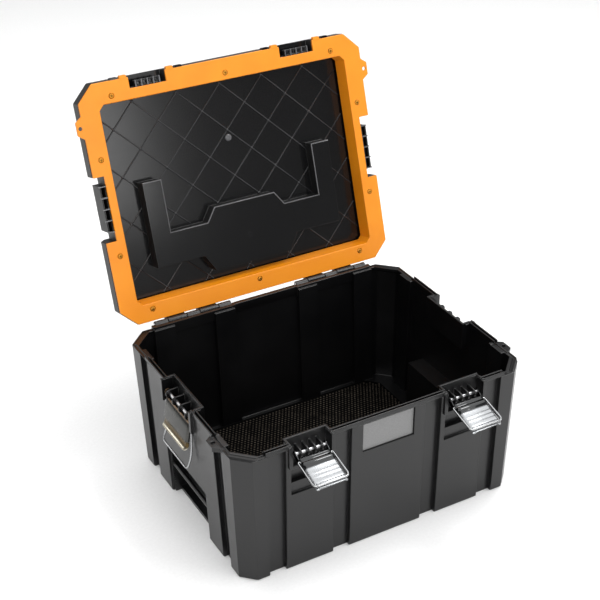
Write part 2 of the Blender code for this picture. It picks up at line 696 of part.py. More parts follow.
def build_lid_shell(mat, lid_axis):
    """The moulded lid with its handle pocket, screw bosses, keepers and hinge knuckles."""
    low = octagon(LID_HALF_X, LID_HALF_Y, LID_CHAMFER)
    high = inset(low, LID_TOP_INSET)
    shell = as_object("lid_shell", loft([ring_at(low, LID_Z), ring_at(low, LID_Z + LID_WALL_HEIGHT),
                                         ring_at(high, LID_TOP)]), mat)
    ride_on(shell, lid_axis)

    cavity = as_object("lid cavity", loft([
        ring_at(inset(low, WALL), LID_Z - PAST),
        ring_at(inset(low, WALL), LID_Z + LID_WALL_HEIGHT - LID_SKIN),
        ring_at(inset(high, WALL), LID_TOP - LID_SKIN - LID_PANEL_SINK)]))
    cut(cavity, hung(lid_hollows(WALL)))
    ride_on(cavity, lid_axis)
    hollow_out(shell, cavity)

    mine, lids = knuckles()
    pocket = pocket_outline()
    skin = LID_TOP - LID_PANEL_SINK - LID_SKIN / 2
    added = [slab(pocket, "z", RING_Z + POCKET_CLEARANCE, skin)]
    for x, y in screw_places():
        added.append(rod("z", (x, y), BOSS_RADIUS, LID_Z, skin, 12))
    for a, b in both_sides(lids):
        root = LID_HALF_Y - WALL / 2
        web = arc((HINGE.y, HINGE.z), KNUCKLE_RADIUS, 180, 360, 8)
        web += [(HINGE.y + KNUCKLE_RADIUS, LID_Z + WALL), (LID_HALF_Y, LID_Z + 3 * WALL),
                (root, LID_Z + 3 * WALL), (root, LID_Z + RUNNING_GAP),
                (HINGE.y - KNUCKLE_RADIUS, LID_Z + RUNNING_GAP)]
        added.append(slab(web, "x", a, b))
    fuse(shell, hung(added))

    removed = lid_hollows(0)
    removed.append(slab(inset(high, LID_PANEL_BORDER), "z", LID_TOP - LID_PANEL_SINK,
                        LID_TOP + PAST))
    floor = RING_Z + POCKET_CLEARANCE + POCKET_WALL
    removed.append(slab(inset(pocket, POCKET_WALL), "z", floor, LID_TOP + PAST))
    for side in (-1, 1):
        outer = POCKET_HALF - POCKET_WALL + HANDLE_PIN_SEAT + RUNNING_GAP
        inner = POCKET_HALF - POCKET_ARM + POCKET_WALL - HANDLE_PIN_SEAT - RUNNING_GAP
        a, b = sorted((side * inner, side * outer))
        removed.append(rod("x", (HANDLE_PIVOT.y, HANDLE_PIVOT.z),
                           HANDLE_PIN_RADIUS + PIN_CLEARANCE, a, b))
    for x, y in screw_places():
        removed.append(rod("z", (x, y), SCREW_RADIUS + SCREW_CLEARANCE, LID_Z - PAST,
                           RING_Z + SCREW_LENGTH + SCREW_CLEARANCE, 10))
    for a, b in both_sides([(mine[0][0], mine[-1][1])]):
        removed.append(rod("x", (HINGE.y, HINGE.z), HINGE_PIN_RADIUS + PIN_CLEARANCE, a, b))
    cut(shell, hung(removed))

    # The keepers stand in the notches, so they are joined on once the notches are open
    fuse(shell, hung([turned(keeper(sizes), place) for _, sizes, place in latches()]))
    cells = []
    for _, sizes, place in latches():
        cells += [turned(cell, place) for cell in keeper_cells(sizes)]
    cut(shell, hung(cells))


def hung(bodies):
    """Bodies modelled in the closed case, turned with the lid to where it stands open."""
    swing = Matrix.Translation(HINGE) @ Matrix.Rotation(-LID_OPEN, 4, "X")
    return [turned(body, swing @ Matrix.Translation(-HINGE)) for body in bodies]


def keeper_half(sizes):
    """Half a keeper's width: it fills the straight part of the bail's crossbar."""
    return sizes["bail_half"] - BAIL_CORNER - KEEPER_HOOK_GAP


def keeper(sizes):
    """The block that a bail hooks over: a ledge with a raised tip, on the notch's back wall."""
    front = keeper_front(sizes)
    wall = front + KEEPER_REACH
    root = wall + WALL / 2
    low = RING_Z + KEEPER_DROP
    top = keeper_top(sizes)
    over_ring = LID_Z + RUNNING_GAP
    profile = [(wall - RUNNING_GAP, low), (front, low), (front, top + KEEPER_TIP),
               (front + KEEPER_TIP, top + KEEPER_TIP), (front + KEEPER_TIP, top), (root, top),
               (root, over_ring), (wall - RUNNING_GAP, over_ring)]
    half = keeper_half(sizes)
    return slab(profile, "x", -half, half)


def keeper_cells(sizes):
    """Pockets in the keeper's underside that leave it ribbed."""
    front = keeper_front(sizes)
    low = RING_Z + KEEPER_DROP
    half = keeper_half(sizes)
    pitch = 2 * half / KEEPER_CELLS
    cells = []
    for i in range(KEEPER_CELLS):
        left = -half + i * pitch + KEEPER_CELL_WALL / 2
        right = left + pitch - KEEPER_CELL_WALL
        cells.append(box((left, front + KEEPER_CELL_WALL, low - PAST),
                         (right, front + KEEPER_REACH - KEEPER_CELL_WALL,
                          keeper_top(sizes) - KEEPER_CELL_WALL)))
    return cells


def ring_opening():
    """The ring's opening: a rectangle with cut corners, nearer the front than the rear."""
    x = LID_HALF_X - RING_SIDE
    front = -LID_HALF_Y + RING_FRONT
    rear = LID_HALF_Y - RING_REAR
    middle = (front + rear) / 2
    return [(px, py + middle) for px, py in octagon(x, (rear - front) / 2, RING_CORNER)]


def build_lid_ring(mat, lid_axis):
    """The orange ring: a flat flange with a skirt round its opening, drawn in as it goes deeper."""
    outline = inset(octagon(LID_HALF_X, LID_HALF_Y, LID_CHAMFER), RING_INSET)
    ring = as_object("lid_frame", slab(outline, "z", RING_Z, RING_Z + RING_THICKNESS), mat)
    ride_on(ring, lid_axis)
    opening = ring_opening()
    deep = inset(opening, RING_SKIRT_DRAFT)
    root, end = RING_Z + RING_THICKNESS / 2, RING_Z + RING_SKIRT
    skirt = loft([ring_at(inset(opening, -RING_SKIRT_WALL), root),
                  ring_at(inset(deep, -RING_SKIRT_WALL), end)])
    eyes = [slab(eye_outline(side, LID_HALF_X), "z", RING_Z, RING_Z + RING_THICKNESS)
            for side in (-1, 1)]
    fuse(ring, hung([skirt] + eyes))
    removed = lid_hollows(0)
    low = RING_Z - PAST
    removed.append(loft([ring_at(opening, low), ring_at(opening, root), ring_at(deep, end),
                         ring_at(deep, LID_TOP)]))
    for side in (-1, 1):
        removed.append(rod("z", eye_centre(side, HALF_X), EYE_BORE, low, LID_TOP, 12))
    for x, y in screw_places():
        removed.append(rod("z", (x, y), SCREW_RADIUS + SCREW_CLEARANCE, low, LID_TOP, 10))
        removed.append(rod("z", (x, y), SCREW_HEAD_RADIUS + SCREW_CLEARANCE, low,
                           RING_Z + SCREW_HEAD + RUNNING_GAP, 12))
    cut(ring, hung(removed))


def build_screws(mat, lid_axis):
    """Pan-head screws, driven up through the ring into the lid's bosses."""
    for number, (x, y) in enumerate(screw_places(), start=1):
        sides = 12
        rings = []
        for radius, z in ((SCREW_HEAD_RADIUS, 0), (SCREW_HEAD_RADIUS, SCREW_HEAD),
                          (SCREW_RADIUS, SCREW_HEAD), (SCREW_RADIUS, SCREW_LENGTH)):
            rings.append([Vector((px, py, z)) for px, py in
                          arc((0, 0), radius, 0, 360 - 360 / sides, sides - 1)])
        screw = as_object(f"lid_screw_{number}", loft(rings), mat)
        ride_on(screw, lid_axis, Vector((x, y, RING_Z)))


def build_handle(mat, pin_mat, lid_axis):
    """The U-shaped handle, folded into its pocket, and its two pins."""
    outer = POCKET_HALF - POCKET_WALL - HANDLE_GAP
    inner = POCKET_HALF - POCKET_ARM + POCKET_WALL + HANDLE_GAP
    bar_rear = POCKET_REAR - POCKET_WALL - HANDLE_GAP - HANDLE_PIVOT.y
    bar_front = bar_rear - HANDLE_BAR
    end = HANDLE_END
    profile = arc((0, 0), end, 90, 270, 8) + [(bar_rear, -end), (bar_rear, end)]
    handle = as_object("carry_handle", slab(profile, "x", inner, outer), mat)
    ride_on(handle, lid_axis, HANDLE_PIVOT)
    place = Matrix.Translation(HANDLE_PIVOT)
    bar = box((-outer + end, bar_front, -end), (outer - end, bar_rear, end))
    arm = slab(profile, "x", -outer, -inner)
    fuse(handle, hung([turned(bar, place), turned(arm, place)]))
    bore = rod("x", (HANDLE_PIVOT.y, HANDLE_PIVOT.z), HANDLE_PIN_RADIUS + PIN_CLEARANCE,
               -POCKET_HALF, POCKET_HALF)
    cut(handle, hung([bore]))
    for side, name in ((-1, "handle_pin_left"), (1, "handle_pin_right")):
        low, high = sorted((side * (POCKET_HALF - POCKET_ARM + POCKET_WALL - HANDLE_PIN_SEAT),
                            side * (POCKET_HALF - POCKET_WALL + HANDLE_PIN_SEAT)))
        pin = as_object(name, rod("x", (0, 0), HANDLE_PIN_RADIUS, low, high), pin_mat)
        ride_on(pin, lid_axis, HANDLE_PIVOT)


def strip(points, thickness):
    """The outline of a bent sheet: a line of points and the same line one gauge below."""
    under = []
    for i, point in enumerate(points):
        before = Vector(points[max(i - 1, 0)])
        after = Vector(points[min(i + 1, len(points) - 1)])
        along = (after - before).normalized()
        under.append(tuple(Vector(point) + thickness * Vector((along.y, -along.x))))
    return points + under[::-1]


def lever_outlines(length):
    """Side view of a lever from its pin: the bent plate, and one flange. Points are (out, up)."""
    bend = LEVER_ROOT + LEVER_CURL
    curl = []
    for a in (math.radians(degrees) for degrees in (75, 55, 35, 15, 0)):
        curl.append((bend - LEVER_CURL * math.sin(a),
                     LEVER_RISE - LEVER_CURL_DROP * (1 - math.cos(a))))
    lip = length - LEVER_LIP
    lip_top = LEVER_RISE - LEVER_LIP_STEP
    plate = curl + [(lip - LEVER_LIP_STEP, LEVER_RISE), (lip, lip_top), (length, lip_top)]
    low = LEVER_RISE - FLANGE_DEPTH
    high = LEVER_RISE - LEVER_GAUGE / 2
    flange = arc((0, 0), LEVER_EYE, 90, 270, 8)
    flange += [(BAIL_PIVOT, -LEVER_EYE), (bend + LEVER_LIP, low), (lip, low), (lip, high),
               (bend, high), (BAIL_PIVOT, LEVER_EYE / 2)]
    return plate, flange


def build_latch(name, sizes, place, steel, wire):
    """One latch: its pin, its lever on the pin, and its bail on the lever's flanges."""
    pivot = place @ Matrix.Translation((0, *latch_pivot(sizes)))
    half = lever_half(sizes)
    pin = as_object(f"latch_pin_{name}", rod("x", (0, 0), LATCH_PIN_RADIUS, -half, half), steel)
    pin.matrix_world = pivot

    stand = pivot @ Matrix.Rotation(sizes["tilt"], 4, "X")
    plate, flange = lever_outlines(sizes["lever"])
    sheet = [(-out, up) for out, up in strip(plate, LEVER_GAUGE)]
    side = [(-out, up) for out, up in flange]
    lever = as_object(f"latch_lever_{name}", slab(sheet, "x", -half, half), steel)
    lever.matrix_world = stand
    flanges = [slab(side, "x", -half, -half + LEVER_GAUGE), slab(side, "x", half - LEVER_GAUGE, half)]
    fuse(lever, [turned(body, stand) for body in flanges])
    bores = [rod("x", (0, 0), LATCH_PIN_RADIUS + PIN_CLEARANCE, -2 * half, 2 * half),
             rod("x", (-BAIL_PIVOT, -BAIL_PIVOT_SINK), BAIL_WIRE / 2 + PIN_CLEARANCE,
                 -2 * half, 2 * half)]
    cut(lever, [turned(body, stand) for body in bores])

    bail = wire_bail(f"latch_bail_{name}", bail_points(sizes), wire)
    bail_pivot = stand @ Matrix.Translation((0, -BAIL_PIVOT, -BAIL_PIVOT_SINK))
    bail.matrix_world = bail_pivot @ Matrix.Rotation(-sizes["bail_rest"], 4, "X")


def bail_points(sizes):
    """Centre line of a bail, lying along -Y from its pivot: stub, leg, corner, crossbar."""
    half = sizes["bail_half"]
    length = sizes["bail"]
    stub = lever_half(sizes) - LEVER_GAUGE - BAIL_SIDE_GAP
    middle = length / 2
    flat = [(stub, 0), (half - BAIL_WIRE / 2, 0), (half, -BAIL_WIRE / 2), (half, -middle)]
    flat += arc((half - BAIL_CORNER, BAIL_CORNER - length), BAIL_CORNER, 0, -90, 3)
    line = []
    for x, y in flat:
        past_middle = max(0.0, (-y - middle) / middle)
        line.append(Vector((x, y, sizes["hook"] * past_middle ** 2)))
    return line + [Vector((-p.x, p.y, p.z)) for p in reversed(line)]


def wire_bail(name, points, mat):
    """A round wire along a line of points, with closed ends."""
    curve = bpy.data.curves.new(name, "CURVE")
    curve.dimensions = "3D"
    curve.bevel_depth = BAIL_WIRE / 2
    curve.bevel_resolution = 2
    curve.use_fill_caps = True
    curve.materials.append(mat)
    spline = curve.splines.new("POLY")
    spline.points.add(len(points) - 1)
    for knot, point in zip(spline.points, points):
        knot.co = (*point, 1)
    obj = bpy.data.objects.new(name, curve)
    bpy.context.scene.collection.objects.link(obj)
    weld = obj.modifiers.new("Weld", "WELD")
    weld.merge_threshold = BAIL_WIRE / 1000
    return obj


def build_case():
    clear_scene()
    black = finish("black moulded polypropylene", (0.030, 0.030, 0.032), 0.42)
    lid_black = finish("black moulded polypropylene, lid", (0.026, 0.026, 0.028), 0.38)
    orange = finish("orange moulded polypropylene", (0.92, 0.30, 0.02), 0.45)
    rubber = finish("anti-slip mat", (0.012, 0.012, 0.012), 0.75)
    grey = finish("grey label stock", (0.28, 0.28, 0.29), 0.5)
    handle_black = finish("black handle plastic", (0.024, 0.024, 0.026), 0.45)
    steel = finish("zinc-plated steel", (0.72, 0.72, 0.74), 0.25, 1.0)
    wire = finish("zinc-plated wire", (0.66, 0.66, 0.68), 0.28, 1.0)
    screw_steel = finish("blackened screw steel", (0.20, 0.16, 0.10), 0.4, 1.0)

    build_base(black)
    build_mat(rubber)
    build_label(grey)
    build_hinge_pins(steel)

    lid_axis = bpy.data.objects.new("lid axis", None)
    bpy.context.scene.collection.objects.link(lid_axis)
    lid_axis.location = HINGE
    lid_axis.rotation_euler.x = -LID_OPEN
    build_lid_shell(lid_black, lid_axis)
    build_lid_ring(orange, lid_axis)
    build_screws(screw_steel, lid_axis)
    build_handle(handle_black, steel, lid_axis)

    for name, sizes, place in latches():
        build_latch(name, sizes, place, steel, wire)


build_case()
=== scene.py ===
"""A stackable tool case, standing open on a white studio floor."""

import json
import math

import bmesh
import bpy
from mathutils import Matrix, Vector


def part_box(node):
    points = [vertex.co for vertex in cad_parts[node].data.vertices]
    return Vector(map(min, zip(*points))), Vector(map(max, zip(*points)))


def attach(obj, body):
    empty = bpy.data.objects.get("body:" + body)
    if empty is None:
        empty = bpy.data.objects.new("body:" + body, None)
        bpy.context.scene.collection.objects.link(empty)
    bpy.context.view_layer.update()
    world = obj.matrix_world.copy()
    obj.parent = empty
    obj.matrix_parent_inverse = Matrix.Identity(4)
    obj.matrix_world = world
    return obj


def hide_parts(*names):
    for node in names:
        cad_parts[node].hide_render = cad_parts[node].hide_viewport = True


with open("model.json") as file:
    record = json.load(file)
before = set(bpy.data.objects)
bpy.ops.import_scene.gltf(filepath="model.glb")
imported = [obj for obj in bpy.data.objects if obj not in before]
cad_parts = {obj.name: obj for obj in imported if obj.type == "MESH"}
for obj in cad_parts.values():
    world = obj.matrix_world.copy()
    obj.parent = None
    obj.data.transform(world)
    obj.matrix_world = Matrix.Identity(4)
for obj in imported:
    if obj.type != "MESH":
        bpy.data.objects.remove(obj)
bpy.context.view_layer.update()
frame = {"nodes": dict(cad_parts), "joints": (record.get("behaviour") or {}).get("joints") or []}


# Studio: a white paper floor under a wide overhead softbox, with smaller boxes round it: one to the
# front left, a fill to the right, a low panel that the lid mirrors, and three that pick out edges.
# The black mouldings show mostly by what they reflect of the floor and of these boxes.
FLOOR_HALF = 6.0
PAPER_GRAIN = 0.004
PAPER_ROUGHNESS = 0.95
PAPER_GLOSS = 0.1
NOISE_SPAN = (0.3, 0.7)
WALL_GLOW = 0.22
SOFTBOXES = {
    "overhead": ((0.3, 0.4, 2.8), (4.2, 4.2), 106),
    "front_left": ((-1.7, -2.3, 1.7), (1.6, 1.6), 46),
    "right_fill": ((2.4, -1.2, 1.3), (1.2, 1.6), 18),
    "lid_panel": ((0.42, -2.7, 1.05), (0.93, 0.9), 12),
    "edge_light": ((1.12, 0.12, 2.7), (0.6, 0.5), 13),
    "front_rim": ((1.25, -1.6, 2.4), (0.9, 0.9), 16),
    "left_rim": ((-1.54, 1.94, 1.3), (0.7, 0.7), 8),
}
AIM = Vector((0, 0.05, 0.2))


def linear(code):
    """An sRGB hex colour as the linear numbers that shaders take."""
    parts = [int(code[at:at + 2], 16) / 255 for at in (1, 3, 5)]
    return [c / 12.92 if c <= 0.04045 else ((c + 0.055) / 1.055) ** 2.4 for c in parts] + [1.0]


def add(tree, kind, inputs=None, **settings):
    """A node with its settings; an input is either a value or another node's output."""
    made = tree.nodes.new(kind)
    for name, value in settings.items():
        setattr(made, name, value)
    for name, value in (inputs or {}).items():
        if isinstance(value, bpy.types.NodeSocket):
            tree.links.new(value, made.inputs[name])
        else:
            made.inputs[name].default_value = value
    return made


def blank_material(name):
    """A material with its shader and nothing else: returns it, its tree and the shader."""
    material = bpy.data.materials.new(name)
    material.use_nodes = True
    tree = material.node_tree
    return material, tree, tree.nodes["Principled BSDF"]


def two_tone(tree, factor, low, high, span=NOISE_SPAN):
    """A ramp between two hex colours over part of a pattern's range."""
    ramp = add(tree, "ShaderNodeValToRGB", {"Fac": factor})
    for stop, place, colour in zip(ramp.color_ramp.elements, span, (low, high)):
        stop.position = place
        stop.color = linear(colour)
    return ramp.outputs["Color"]


def mottled(name, size, low, high, roughness, detail=3.0):
    """A finish in two close tones, in patches of a real size: returns it, its tree and the shader."""
    material, tree, shader = blank_material(name)
    place = add(tree, "ShaderNodeTexCoord").outputs["Object"]
    patches = add(tree, "ShaderNodeTexNoise", {"Vector": place, "Scale": 1 / size, "Detail": detail})
    tone = two_tone(tree, patches.outputs["Fac"], low, high)
    tree.links.new(tone, shader.inputs["Base Color"])
    shader.inputs["Roughness"].default_value = roughness
    return material, tree, shader


def put(name, data):
    """A mesh, curve, lamp or camera as an object in the scene."""
    made = bpy.data.objects.new(name, data)
    bpy.context.scene.collection.objects.link(made)
    return made


def mesh_of(name, points, faces, crease=0):
    """A mesh with its normals outward, shaded smooth where it turns less than an angle in degrees."""
    mesh = bpy.data.meshes.new(name)
    mesh.from_pydata([tuple(p) for p in points], [], faces)
    shape = bmesh.new()
    shape.from_mesh(mesh)
    bmesh.ops.recalc_face_normals(shape, faces=shape.faces)
    shape.to_mesh(mesh)
    shape.free()
    mesh.shade_smooth()
    mesh.set_sharp_from_angle(angle=math.radians(crease))
    return mesh


# Matt white paper: nearly even, with a faint fibre mottle.
paper, _, shader = mottled("matt_white_paper", PAPER_GRAIN, "#f2f2f2", "#f7f7f7", PAPER_ROUGHNESS)
shader.inputs["Specular IOR Level"].default_value = PAPER_GLOSS

corners = [(x * FLOOR_HALF, y * FLOOR_HALF, 0) for x, y in ((-1, -1), (1, -1), (1, 1), (-1, 1))]
floor = put("floor", mesh_of("floor", corners, [(0, 1, 2, 3)]))
floor.data.materials.append(paper)

for name, (place, size, power) in SOFTBOXES.items():
    lamp = bpy.data.lights.new(name, "AREA")
    lamp.shape = "RECTANGLE"
    lamp.size, lamp.size_y = size
    lamp.energy = power
    stand = put(name, lamp)
    stand.location = place
    stand.rotation_euler = (AIM - Vector(place)).to_track_quat("-Z", "Y").to_euler()

world = bpy.data.worlds.new("studio_walls")
world.use_nodes = True
walls = world.node_tree.nodes["Background"]
walls.inputs["Color"].default_value = linear("#ffffff")
walls.inputs["Strength"].default_value = WALL_GLOW
bpy.context.scene.world = world
bpy.context.scene.view_settings.view_transform = "Standard"

# The camera stands to the left of the front, above the rim, with a long lens.
CAMERA_AZIMUTH = math.radians(-29.44)
CAMERA_ELEVATION = math.radians(31.04)
CAMERA_ROLL = math.radians(-0.57)
CAMERA_PLACE = Vector((-0.7589, -1.3445, 1.1827))
LENS_MM = 79.69
SENSOR_MM = 36.0
SHIFT = (-0.0370, 0.0295)

backward = Vector((math.sin(CAMERA_AZIMUTH) * math.cos(CAMERA_ELEVATION),
                   -math.cos(CAMERA_AZIMUTH) * math.cos(CAMERA_ELEVATION),
                   math.sin(CAMERA_ELEVATION)))
level = Vector((0, 0, 1)).cross(backward).normalized()
upright = backward.cross(level)
rightward = math.cos(CAMERA_ROLL) * level + math.sin(CAMERA_ROLL) * upright
upward = math.cos(CAMERA_ROLL) * upright - math.sin(CAMERA_ROLL) * level
camera = bpy.data.cameras.new("camera")
camera.lens = LENS_MM
camera.sensor_width = SENSOR_MM
camera.shift_x, camera.shift_y = SHIFT
tripod = put("camera", camera)
camera_axes = Matrix((rightward, upward, backward)).transposed().to_4x4()
tripod.matrix_world = Matrix.Translation(CAMERA_PLACE) @ camera_axes
bpy.context.scene.camera = tripod


# Box: one injection moulding in black polypropylene, with raised wall panels, a grooved rim, grip
# recesses in the ends, and the combs for the latches and the hinge knuckles moulded in.
BOX_EDGE = 0.0008
EDGE_SEGMENTS = 2
EDGE_TURN = math.radians(30)
WELD_GAP = 1e-5
FLAT_WEIGHT = 100
BOX_ROUGHNESS = 0.33
FLOW = 0.09
FLOW_SWING = 0.04
# The real grain is finer; it is drawn this coarse so that it shows.
GRAIN = 0.0011
GRAIN_RELIEF = 0.00012
POLYPROPYLENE_IOR = 1.49


def soften(name, radius):
    """Rounds a CAD node's sharp edges as a mould does."""
    piece = frame["nodes"][name]
    weld = piece.modifiers.new("join", "WELD")
    weld.merge_threshold = WELD_GAP
    edge = piece.modifiers.new("edge", "BEVEL")
    edge.width = radius
    edge.segments = EDGE_SEGMENTS
    edge.limit_method = "ANGLE"
    edge.angle_limit = EDGE_TURN
    edge.use_clamp_overlap = False
    flat = piece.modifiers.new("flat", "WEIGHTED_NORMAL")
    flat.weight = FLAT_WEIGHT
    return piece


def finish_with(piece, material):
    """Gives a piece one material all over."""
    piece.data.materials.clear()
    piece.data.materials.append(material)


def vary_roughness(tree, shader, pattern, roughness, swing):
    """Lets a finish wander to either side of its roughness with a pattern."""
    start, end = NOISE_SPAN
    haze = add(tree, "ShaderNodeMapRange",
               {"Value": pattern, "From Min": start, "From Max": end,
                "To Min": roughness - swing, "To Max": roughness + swing})
    tree.links.new(haze.outputs["Result"], shader.inputs["Roughness"])


def mould_grain(tree, shader, strength):
    """The grain that a spark-eroded mould leaves on polypropylene, and the gloss of that plastic."""
    place = add(tree, "ShaderNodeTexCoord").outputs["Object"]
    grain = add(tree, "ShaderNodeTexNoise", {"Vector": place, "Scale": 1 / GRAIN, "Detail": 2.0})
    bump = add(tree, "ShaderNodeBump", {"Height": grain.outputs["Fac"], "Strength": strength,
                                        "Distance": GRAIN_RELIEF})
    tree.links.new(bump.outputs["Normal"], shader.inputs["Normal"])
    shader.inputs["IOR"].default_value = POLYPROPYLENE_IOR


def grained_black(name, dark, light, roughness, grain_depth=0.22):
    """Black polypropylene from a grained mould: satin, with a fine grain and slow flow marks."""
    material, tree, shader = blank_material(name)
    place = add(tree, "ShaderNodeTexCoord").outputs["Object"]
    flow = add(tree, "ShaderNodeTexNoise", {"Vector": place, "Scale": 1 / FLOW, "Detail": 4.0})
    black = two_tone(tree, flow.outputs["Fac"], dark, light)
    tree.links.new(black, shader.inputs["Base Color"])
    vary_roughness(tree, shader, flow.outputs["Fac"], roughness, FLOW_SWING)
    mould_grain(tree, shader, grain_depth)
    return material


black_box = grained_black("black_polypropylene_box", "#060607", "#0b0b0c", BOX_ROUGHNESS)
finish_with(soften("base_shell", BOX_EDGE), black_box)


# Floor mat: a loose sheet of black rubber on the box floor, moulded with staggered round studs
# that keep tools from sliding.
STUD_PITCH = 0.0056
STUD_RADIUS = 0.0017
STUD_HEIGHT = 0.0008
STUD_PROFILE = ((1.0, -0.3), (0.78, 0.65), (0.35, 1.0))
STUD_SIDES = 8
STUD_MARGIN = 0.003
MAT_CORNER = 0.0187
# The stud tops are painted a lighter brown, in a mottle, as a painted highlight.
STUD_HIGHLIGHT_MOTTLE = 0.012
STUD_HIGHLIGHT_MOST = 0.8
STUD_HIGHLIGHT_SPAN = (0.12, 0.42)
RUBBER_ROUGHNESS = 0.7
RUBBER_GLOSS = 0.04


def cut_corners(low, high, corner):
    """A rectangle with its corners cut off, as flat points."""
    (x0, y0), (x1, y1), c = low, high, corner
    return [(x0 + c, y0), (x1 - c, y0), (x1, y0 + c), (x1, y1 - c),
            (x1 - c, y1), (x0 + c, y1), (x0, y1 - c), (x0, y0 + c)]


def inside(x, y, outline):
    """Whether a flat point lies within an outline."""
    within = False
    for (ax, ay), (bx, by) in zip(outline, outline[1:] + outline[:1]):
        if (ay > y) != (by > y) and x < ax + (bx - ax) * (y - ay) / (by - ay):
            within = not within
    return within


def prism(outline, low, high):
    """Points and faces of a flat outline pushed from one height to another."""
    count = len(outline)
    points = [(x, y, z) for z in (low, high) for x, y in outline]
    faces = [tuple(reversed(range(count))), tuple(range(count, 2 * count))]
    faces += [(i, (i + 1) % count, count + (i + 1) % count, count + i) for i in range(count)]
    return points, faces


def turn_round(points, faces, centre, profile, sides):
    """Adds a turned form to a mesh: rings of (radius, height) round a centre, capped at both ends."""
    first = len(points)
    x, y = centre
    for radius, height in profile:
        points += [(x + radius * math.cos(turn), y + radius * math.sin(turn), height)
                   for turn in (2 * math.pi * side / sides for side in range(sides))]
    for ring in range(len(profile) - 1):
        a, b = first + ring * sides, first + (ring + 1) * sides
        faces += [(a + i, a + (i + 1) % sides, b + (i + 1) % sides, b + i) for i in range(sides)]
    faces.append(tuple(first + i for i in reversed(range(sides))))
    last = first + (len(profile) - 1) * sides
    faces.append(tuple(last + i for i in range(sides)))


low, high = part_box("floor_mat")
mat_top = high.z - STUD_HEIGHT
points, faces = prism(cut_corners(low.xy, high.xy, MAT_CORNER), low.z, mat_top)
margin = Vector((STUD_MARGIN, STUD_MARGIN))
studded = cut_corners(low.xy + margin, high.xy - margin, MAT_CORNER)
row_pitch = STUD_PITCH * math.sqrt(3) / 2
stud = [(share * STUD_RADIUS, mat_top + rise * STUD_HEIGHT) for share, rise in STUD_PROFILE]
for row in range(int((high.y - low.y) / row_pitch)):
    for column in range(int((high.x - low.x) / STUD_PITCH)):
        x = low.x + STUD_PITCH * (column + 0.5 + 0.5 * (row % 2))
        y = low.y + row_pitch * (row + 0.5)
        if inside(x, y, studded):
            turn_round(points, faces, (x, y), stud, STUD_SIDES)

# Moulded rubber: dead black between the studs, with a mottled brown painted highlight on the tops of the
# studs.
rubber, tree, shader = blank_material("moulded_black_rubber")
place = add(tree, "ShaderNodeTexCoord").outputs["Object"]
height = add(tree, "ShaderNodeSeparateXYZ", {"Vector": place}).outputs["Z"]
highlight_mottle = add(tree, "ShaderNodeTexNoise", {"Vector": place, "Scale": 1 / STUD_HIGHLIGHT_MOTTLE, "Detail": 4.0})
rise = add(tree, "ShaderNodeMapRange",
           {"Value": height, "From Min": mat_top, "From Max": high.z, "To Max": STUD_HIGHLIGHT_MOST})
stud_highlight = add(tree, "ShaderNodeMath", {0: rise.outputs["Result"], 1: highlight_mottle.outputs["Fac"]},
           operation="MULTIPLY")
stud_highlight_colour = two_tone(tree, stud_highlight.outputs["Value"], "#020202", "#464039", STUD_HIGHLIGHT_SPAN)
tree.links.new(stud_highlight_colour, shader.inputs["Base Color"])
shader.inputs["Roughness"].default_value = RUBBER_ROUGHNESS
shader.inputs["Specular IOR Level"].default_value = RUBBER_GLOSS
mat = put("studded_floor_mat", mesh_of("studded_floor_mat", points, faces))
mat.data.materials.append(rubber)
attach(mat, "base")
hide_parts("floor_mat")


# Label: a blank plate of grey plastic film, stuck on a shallow seat in the middle of the front.
# Its surface is satin, even, and very faintly flecked.
LABEL_EDGE = 0.0004
LABEL_FLECK = 0.0016
LABEL_ROUGHNESS = 0.4

film, _, _ = mottled("grey_satin_film", LABEL_FLECK, "#6b6b6b", "#757575", LABEL_ROUGHNESS, detail=2.0)
finish_with(soften("label_plate", LABEL_EDGE), film)


# Hinge pins: two zinc-plated steel rods pressed through the knuckles at the rear rim. The plating is
# bright, with a faint spangle.
PIN_EDGE = 0.0003
SPANGLE = 0.0012
ROD_ROUGHNESS = 0.28

steel, _, shader = mottled("zinc_plated_steel_rod", SPANGLE, "#b4b4b6", "#cfcfd1", ROD_ROUGHNESS)
shader.inputs["Metallic"].default_value = 1.0
for pin in ("hinge_pin_left", "hinge_pin_right"):
    finish_with(soften(pin, PIN_EDGE), steel)


# Lid: a black polypropylene tray, hollow below, with a pocket moulded into it for the handle.
# The core side of its mould was polished, so it is glossy inside and satin outside.
LID_EDGE = 0.0007
HINGE = Vector((0, 0.1762, 0.2035))
LID_OPEN = math.radians(106.5)
LID_GRAIN = 0.1
SATIN = 0.5
GLOSSY = 0.17
POLISH_FACING = (0.5, 0.95)

lid_turn = Matrix.Rotation(-LID_OPEN, 4, "X")
lid_standing = Matrix.Translation(HINGE) @ lid_turn @ Matrix.Translation(-HINGE)
underside = lid_standing.to_3x3() @ Vector((0, 0, -1))

# The roughness goes from satin to glossy with how squarely a face looks out of the hollow.
black_lid = grained_black("black_polypropylene_lid", "#060607", "#0a0a0b", SATIN, LID_GRAIN)
tree = black_lid.node_tree
normal = add(tree, "ShaderNodeTexCoord").outputs["Normal"]
facing = add(tree, "ShaderNodeVectorMath", {0: normal, 1: underside}, operation="DOT_PRODUCT")
polish = add(tree, "ShaderNodeMapRange",
             {"Value": facing.outputs["Value"], "From Min": POLISH_FACING[0],
              "From Max": POLISH_FACING[1], "To Min": SATIN, "To Max": GLOSSY})
tree.links.new(polish.outputs["Result"], tree.nodes["Principled BSDF"].inputs["Roughness"])
finish_with(soften("lid_shell", LID_EDGE), black_lid)


